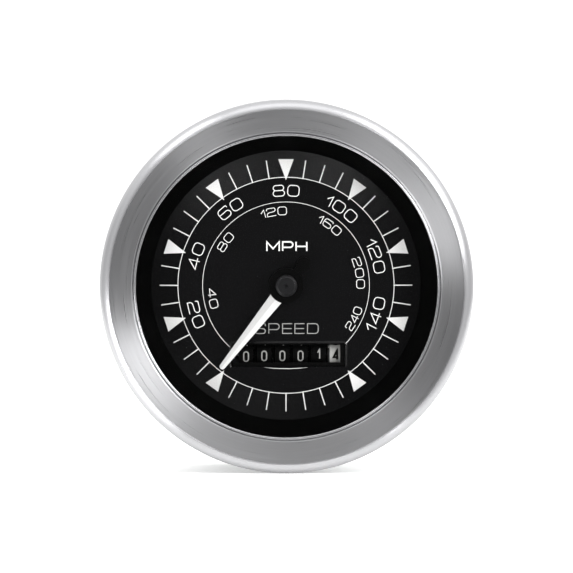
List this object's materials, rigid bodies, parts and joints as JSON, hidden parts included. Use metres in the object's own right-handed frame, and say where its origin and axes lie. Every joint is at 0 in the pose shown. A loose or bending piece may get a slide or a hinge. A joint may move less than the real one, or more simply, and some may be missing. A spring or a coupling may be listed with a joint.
{
  "type": "speedometer",
  "caption": "Round dashboard speedometer with an eddy-current pointer movement and a worm-driven drum odometer in a flanged case behind a bezel.",
  "frame": {"origin": "centre of the bezel's rear face, where the instrument seats on its panel", "axes": "+Y to the back along the case, +Z to the top of the dial, +X to the right as seen from the front"},
  "size_m": [0.092, 0.0767, 0.092],
  "materials": {
    "bezel_chrome": "circularly brushed chrome with bright edges",
    "lens_glass": "clear flat glass",
    "gasket_rubber": "matt black rubber",
    "black_enamel": "satin black enamel",
    "plated_steel": "zinc-plated sheet steel",
    "bright_steel": "turned steel",
    "magnet_steel": "dark sintered magnet",
    "cast_alloy": "die-cast light alloy",
    "cup_aluminium": "thin drawn aluminium",
    "brass": "turned brass and bronze",
    "spring_steel": "blued spring ribbon",
    "black_plastic": "black moulded plastic",
    "white_plastic": "white moulded plastic",
    "white_paint": "white paint on a light blade",
    "natural_plastic": "natural moulded plastic",
    "bulb_glass": "clear bulb glass"
  },
  "bodies": {
    "case": {"bezel": "bezel_chrome", "lens": "lens_glass", "lens_gasket": "gasket_rubber", "reflector_ring": "black_enamel", "dial_plate": "black_enamel", "case_can": "plated_steel", "case_screws": "bright_steel", "mounting_studs": "bright_steel", "lamp_holders": "black_plastic", "lamp_bulbs": "bulb_glass", "frame_casting": "cast_alloy", "cable_stem": "cast_alloy", "front_plate": "plated_steel", "frame_screws": "bright_steel", "dial_screws": "bright_steel", "stem_bushes": "brass", "field_ring": "plated_steel", "field_screws": "bright_steel", "staff_bush": "brass", "hairspring": "spring_steel", "hairspring_anchor": "brass", "stop_pins": "bright_steel", "cross_bushes": "brass", "idler_stud": "bright_steel", "odometer_cheek": "black_enamel", "odometer_gear_plate": "plated_steel", "odometer_screws": "bright_steel", "odometer_shaft": "bright_steel", "pinion_shaft": "bright_steel"},
    "input": {"input_shaft": "bright_steel", "drive_worm": "brass", "magnet": "magnet_steel"},
    "pointer": {"pointer_staff": "bright_steel", "speed_cup": "cup_aluminium", "hairspring_collet": "brass", "pointer_body": "black_plastic", "pointer_blade": "white_paint", "pointer_cap": "black_plastic", "counterweight": "brass"},
    "cross": {"cross_shaft": "bright_steel", "first_worm_wheel": "natural_plastic"},
    "jack": {"jack_shaft": "bright_steel", "second_worm_wheel": "natural_plastic", "jack_pinion": "brass"},
    "idler": {"idler_gear": "natural_plastic"},
    "tenths": {"drum_tenths": "white_plastic", "drum_drive_gear": "natural_plastic"},
    "units": {"drum_units": "black_plastic"},
    "tens": {"drum_tens": "black_plastic"},
    "hundreds": {"drum_hundreds": "black_plastic"},
    "thousands": {"drum_thousands": "black_plastic"},
    "ten_thousands": {"drum_ten_thousands": "black_plastic"},
    "pinion_1": {"transfer_pinion_1": "natural_plastic"},
    "pinion_2": {"transfer_pinion_2": "natural_plastic"},
    "pinion_3": {"transfer_pinion_3": "natural_plastic"},
    "pinion_4": {"transfer_pinion_4": "natural_plastic"},
    "pinion_5": {"transfer_pinion_5": "natural_plastic"}
  },
  "joints": [
    {"name": "input_spin", "type": "hinge", "parent": "case", "child": "input", "pos_m": [0, 0, 0], "axis": [0, 1, 0], "continuous": true},
    {"name": "pointer_turn", "type": "hinge", "parent": "case", "child": "pointer", "pos_m": [0, 0, 0], "axis": [0, 1, 0], "range_deg": [0, 288], "stiffness_Nm_per_rad": 0.00003, "springref_deg": -20.05},
    {"name": "cross_spin", "type": "hinge", "parent": "case", "child": "cross", "pos_m": [0.009, 0.037, 0], "axis": [0, 0, 1], "continuous": true},
    {"name": "jack_spin", "type": "hinge", "parent": "case", "child": "jack", "pos_m": [0, 0.02975, -0.0195], "axis": [1, 0, 0], "continuous": true},
    {"name": "idler_spin", "type": "hinge", "parent": "case", "child": "idler", "pos_m": [0, 0.0218, -0.02035], "axis": [1, 0, 0], "continuous": true},
    {"name": "tenths_spin", "type": "hinge", "parent": "case", "child": "tenths", "pos_m": [0, 0.0112, -0.0174], "axis": [1, 0, 0], "continuous": true},
    {"name": "units_spin", "type": "hinge", "parent": "case", "child": "units", "pos_m": [0, 0.0112, -0.0174], "axis": [1, 0, 0], "continuous": true},
    {"name": "tens_spin", "type": "hinge", "parent": "case", "child": "tens", "pos_m": [0, 0.0112, -0.0174], "axis": [1, 0, 0], "continuous": true},
    {"name": "hundreds_spin", "type": "hinge", "parent": "case", "child": "hundreds", "pos_m": [0, 0.0112, -0.0174], "axis": [1, 0, 0], "continuous": true},
    {"name": "thousands_spin", "type": "hinge", "parent": "case", "child": "thousands", "pos_m": [0, 0.0112, -0.0174], "axis": [1, 0, 0], "continuous": true},
    {"name": "ten_thousands_spin", "type": "hinge", "parent": "case", "child": "ten_thousands", "pos_m": [0, 0.0112, -0.0174], "axis": [1, 0, 0], "continuous": true},
    {"name": "pinion_1_spin", "type": "hinge", "parent": "case", "child": "pinion_1", "pos_m": [0, 0.0112, -0.01005], "axis": [1, 0, 0], "continuous": true},
    {"name": "pinion_2_spin", "type": "hinge", "parent": "case", "child": "pinion_2", "pos_m": [0, 0.0112, -0.01005], "axis": [1, 0, 0], "continuous": true},
    {"name": "pinion_3_spin", "type": "hinge", "parent": "case", "child": "pinion_3", "pos_m": [0, 0.0112, -0.01005], "axis": [1, 0, 0], "continuous": true},
    {"name": "pinion_4_spin", "type": "hinge", "parent": "case", "child": "pinion_4", "pos_m": [0, 0.0112, -0.01005], "axis": [1, 0, 0], "continuous": true},
    {"name": "pinion_5_spin", "type": "hinge", "parent": "case", "child": "pinion_5", "pos_m": [0, 0.0112, -0.01005], "axis": [1, 0, 0], "continuous": true}
  ],
  "couplings": [
    {"joint": "cross_spin", "follows": "input_spin", "ratio": -0.04},
    {"joint": "jack_spin", "follows": "input_spin", "ratio": 0.002},
    {"joint": "idler_spin", "follows": "input_spin", "ratio": -0.0012},
    {"joint": "tenths_spin", "follows": "input_spin", "ratio": 0.001},
    {"joint": "units_spin", "follows": "input_spin", "ratio": 0.0001},
    {"joint": "tens_spin", "follows": "input_spin", "ratio": 0.00001},
    {"joint": "hundreds_spin", "follows": "input_spin", "ratio": 0.000001},
    {"joint": "thousands_spin", "follows": "input_spin", "ratio": 0.0000001},
    {"joint": "ten_thousands_spin", "follows": "input_spin", "ratio": 0.00000001},
    {"joint": "pinion_1_spin", "follows": "input_spin", "ratio": -0.00025},
    {"joint": "pinion_2_spin", "follows": "input_spin", "ratio": -0.000025},
    {"joint": "pinion_3_spin", "follows": "input_spin", "ratio": -0.0000025},
    {"joint": "pinion_4_spin", "follows": "input_spin", "ratio": -0.00000025},
    {"joint": "pinion_5_spin", "follows": "input_spin", "ratio": -0.000000025}
  ]
}
